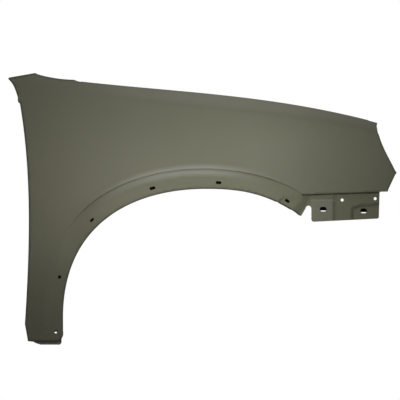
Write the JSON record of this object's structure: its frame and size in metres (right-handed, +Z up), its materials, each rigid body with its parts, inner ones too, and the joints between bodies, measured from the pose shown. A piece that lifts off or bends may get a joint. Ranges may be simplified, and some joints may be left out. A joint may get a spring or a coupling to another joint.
{
  "type": "car fender",
  "caption": "Pressed steel right-hand front fender with a wheel arch, a stepped arch band, a bonnet gutter with a bolt rail, and a bumper bracket.",
  "frame": {"origin": "on the underside of the bonnet rail's middle pad, beside its bolt hole, where the rail seats on the body", "axes": "+X forward, +Y inboard towards the car's centre, +Z up; the painted side faces -Y"},
  "size_m": [1.0481, 0.1706, 0.7322],
  "materials": {
    "primer": "olive-grey satin primer"
  },
  "bodies": {
    "root": {"fender_panel": "primer"}
  },
  "joints": []
}
